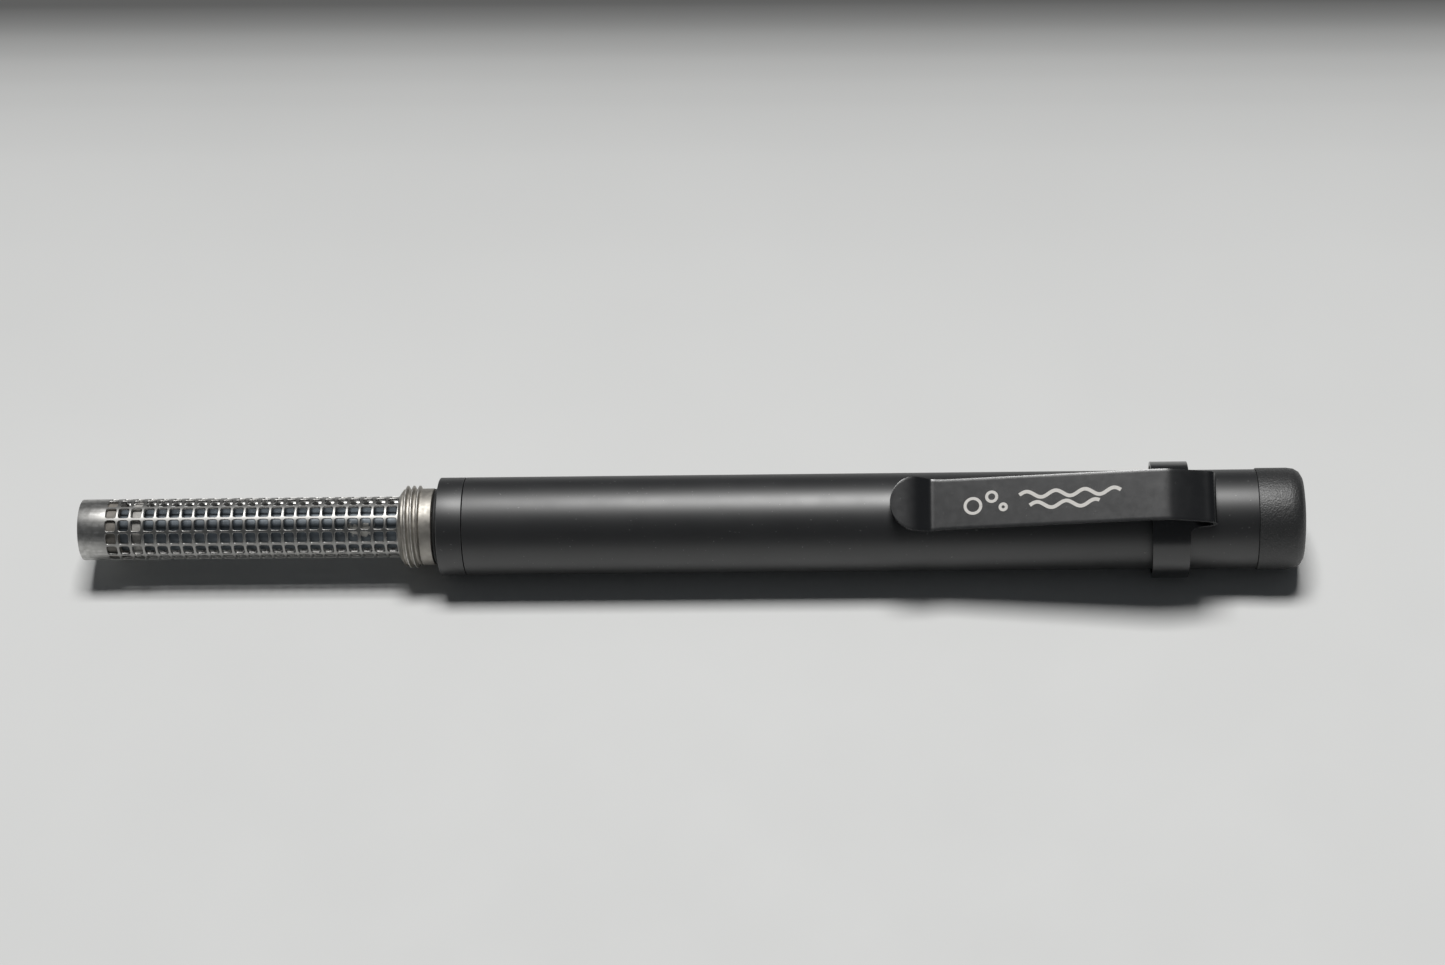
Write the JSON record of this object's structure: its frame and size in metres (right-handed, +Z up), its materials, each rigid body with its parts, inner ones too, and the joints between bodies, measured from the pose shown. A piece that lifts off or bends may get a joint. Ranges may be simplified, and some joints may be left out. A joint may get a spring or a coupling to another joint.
{
  "type": "pen-type water ozoniser",
  "caption": "Slim black pen with a perforated steel electrode head on a threaded collar, a screwed tail cap with a push button, and a sprung pocket clip.",
  "frame": {"origin": "centre of the bounding box's footprint, on the surface that the pen lies on", "axes": "+X along the pen from electrode tip to tail cap, +Z up, the clip leaning towards -Y"},
  "size_m": [0.1994, 0.0188, 0.022],
  "materials": {
    "steel_brushed": "brushed satin, machined streaks",
    "anodised_black": "bead-blasted black anodised satin",
    "cap_plastic": "coarse spark-eroded texture",
    "button_plastic": "fine matt",
    "clip_coated": "semi-gloss black coated spring steel",
    "seal_rubber": "matt black",
    "plug_resin": "brown-grey resin",
    "spacer_ptfe": "light grey fluoropolymer",
    "anode_coating": "dark blue-grey coated electrode",
    "insulator_white": "natural fluoropolymer",
    "brass_plated": "plated contact brass",
    "wire_red": "silicone insulation",
    "wire_black": "silicone insulation",
    "carrier_nylon": "natural nylon",
    "cell_wrap": "shrink sleeve",
    "spring_nickel": "nickel-plated spring wire",
    "board_green": "solder mask over glass-epoxy",
    "ferrite": "sintered ferrite",
    "chip_epoxy": "moulded epoxy",
    "capacitor_can": "sleeved aluminium can",
    "lens_clear": "diffusing acrylic",
    "socket_steel": "stamped tinned steel",
    "plunger_nylon": "natural nylon"
  },
  "bodies": {
    "handle": {"guard_tube": "steel_brushed", "tip_plug": "plug_resin", "front_spacer": "spacer_ptfe", "anode_rod": "anode_coating", "rear_insulator": "insulator_white", "threaded_collar": "steel_brushed", "cap_seal": "seal_rubber", "head_ring": "anodised_black", "head_seal": "seal_rubber", "cathode_tag": "brass_plated", "collar_nut": "steel_brushed", "terminal_nut": "brass_plated", "anode_lead": "wire_red", "cathode_lead": "wire_black", "barrel": "anodised_black", "carrier": "carrier_nylon", "battery_cell": "cell_wrap", "battery_spring": "spring_nickel", "battery_contact": "brass_plated", "circuit_board": "board_green", "boost_inductor": "ferrite", "controller_chip": "chip_epoxy", "storage_capacitor": "capacitor_can", "status_led": "lens_clear", "charging_socket": "socket_steel", "tact_switch": "chip_epoxy"},
    "plunger": {"switch_plunger": "plunger_nylon"},
    "gasket": {"tail_gasket": "seal_rubber"},
    "cap": {"tail_cap": "cap_plastic", "light_ring": "lens_clear"},
    "button": {"power_button": "button_plastic"},
    "band": {"clip_band": "clip_coated"},
    "arm": {"clip_arm": "clip_coated"}
  },
  "joints": [
    {"name": "cap_travel", "type": "slide", "parent": "handle", "child": "gasket", "axis": [1, 0, 0], "range_m": [0, 0.005]},
    {"name": "cap_turn", "type": "hinge", "parent": "gasket", "child": "cap", "pos_m": [0.0953, 0, 0.0082], "axis": [1, 0, 0], "range_deg": [0, 1800]},
    {"name": "button_press", "type": "slide", "parent": "cap", "child": "button", "axis": [-1, 0, 0], "range_m": [0, 0.0005], "stiffness_N_per_m": 1500, "springref_m": -0.0006},
    {"name": "plunger_press", "type": "slide", "parent": "handle", "child": "plunger", "axis": [-1, 0, 0], "range_m": [0, 0.0005]},
    {"name": "clip_swivel", "type": "hinge", "parent": "handle", "child": "band", "pos_m": [0.0781, 0, 0.0082], "axis": [1, 0, 0], "continuous": true},
    {"name": "clip_flex", "type": "hinge", "parent": "band", "child": "arm", "pos_m": [0.08355, -0.00387, 0.01777], "axis": [0, 0.9272, 0.3746], "range_deg": [0, 5], "stiffness_Nm_per_rad": 2.5, "springref_deg": -1.15}
  ],
  "couplings": [
    {"joint": "cap_turn", "follows": "cap_travel", "rad_per_m": 6283.2},
    {"joint": "plunger_press", "follows": "button_press", "ratio": 1}
  ]
}
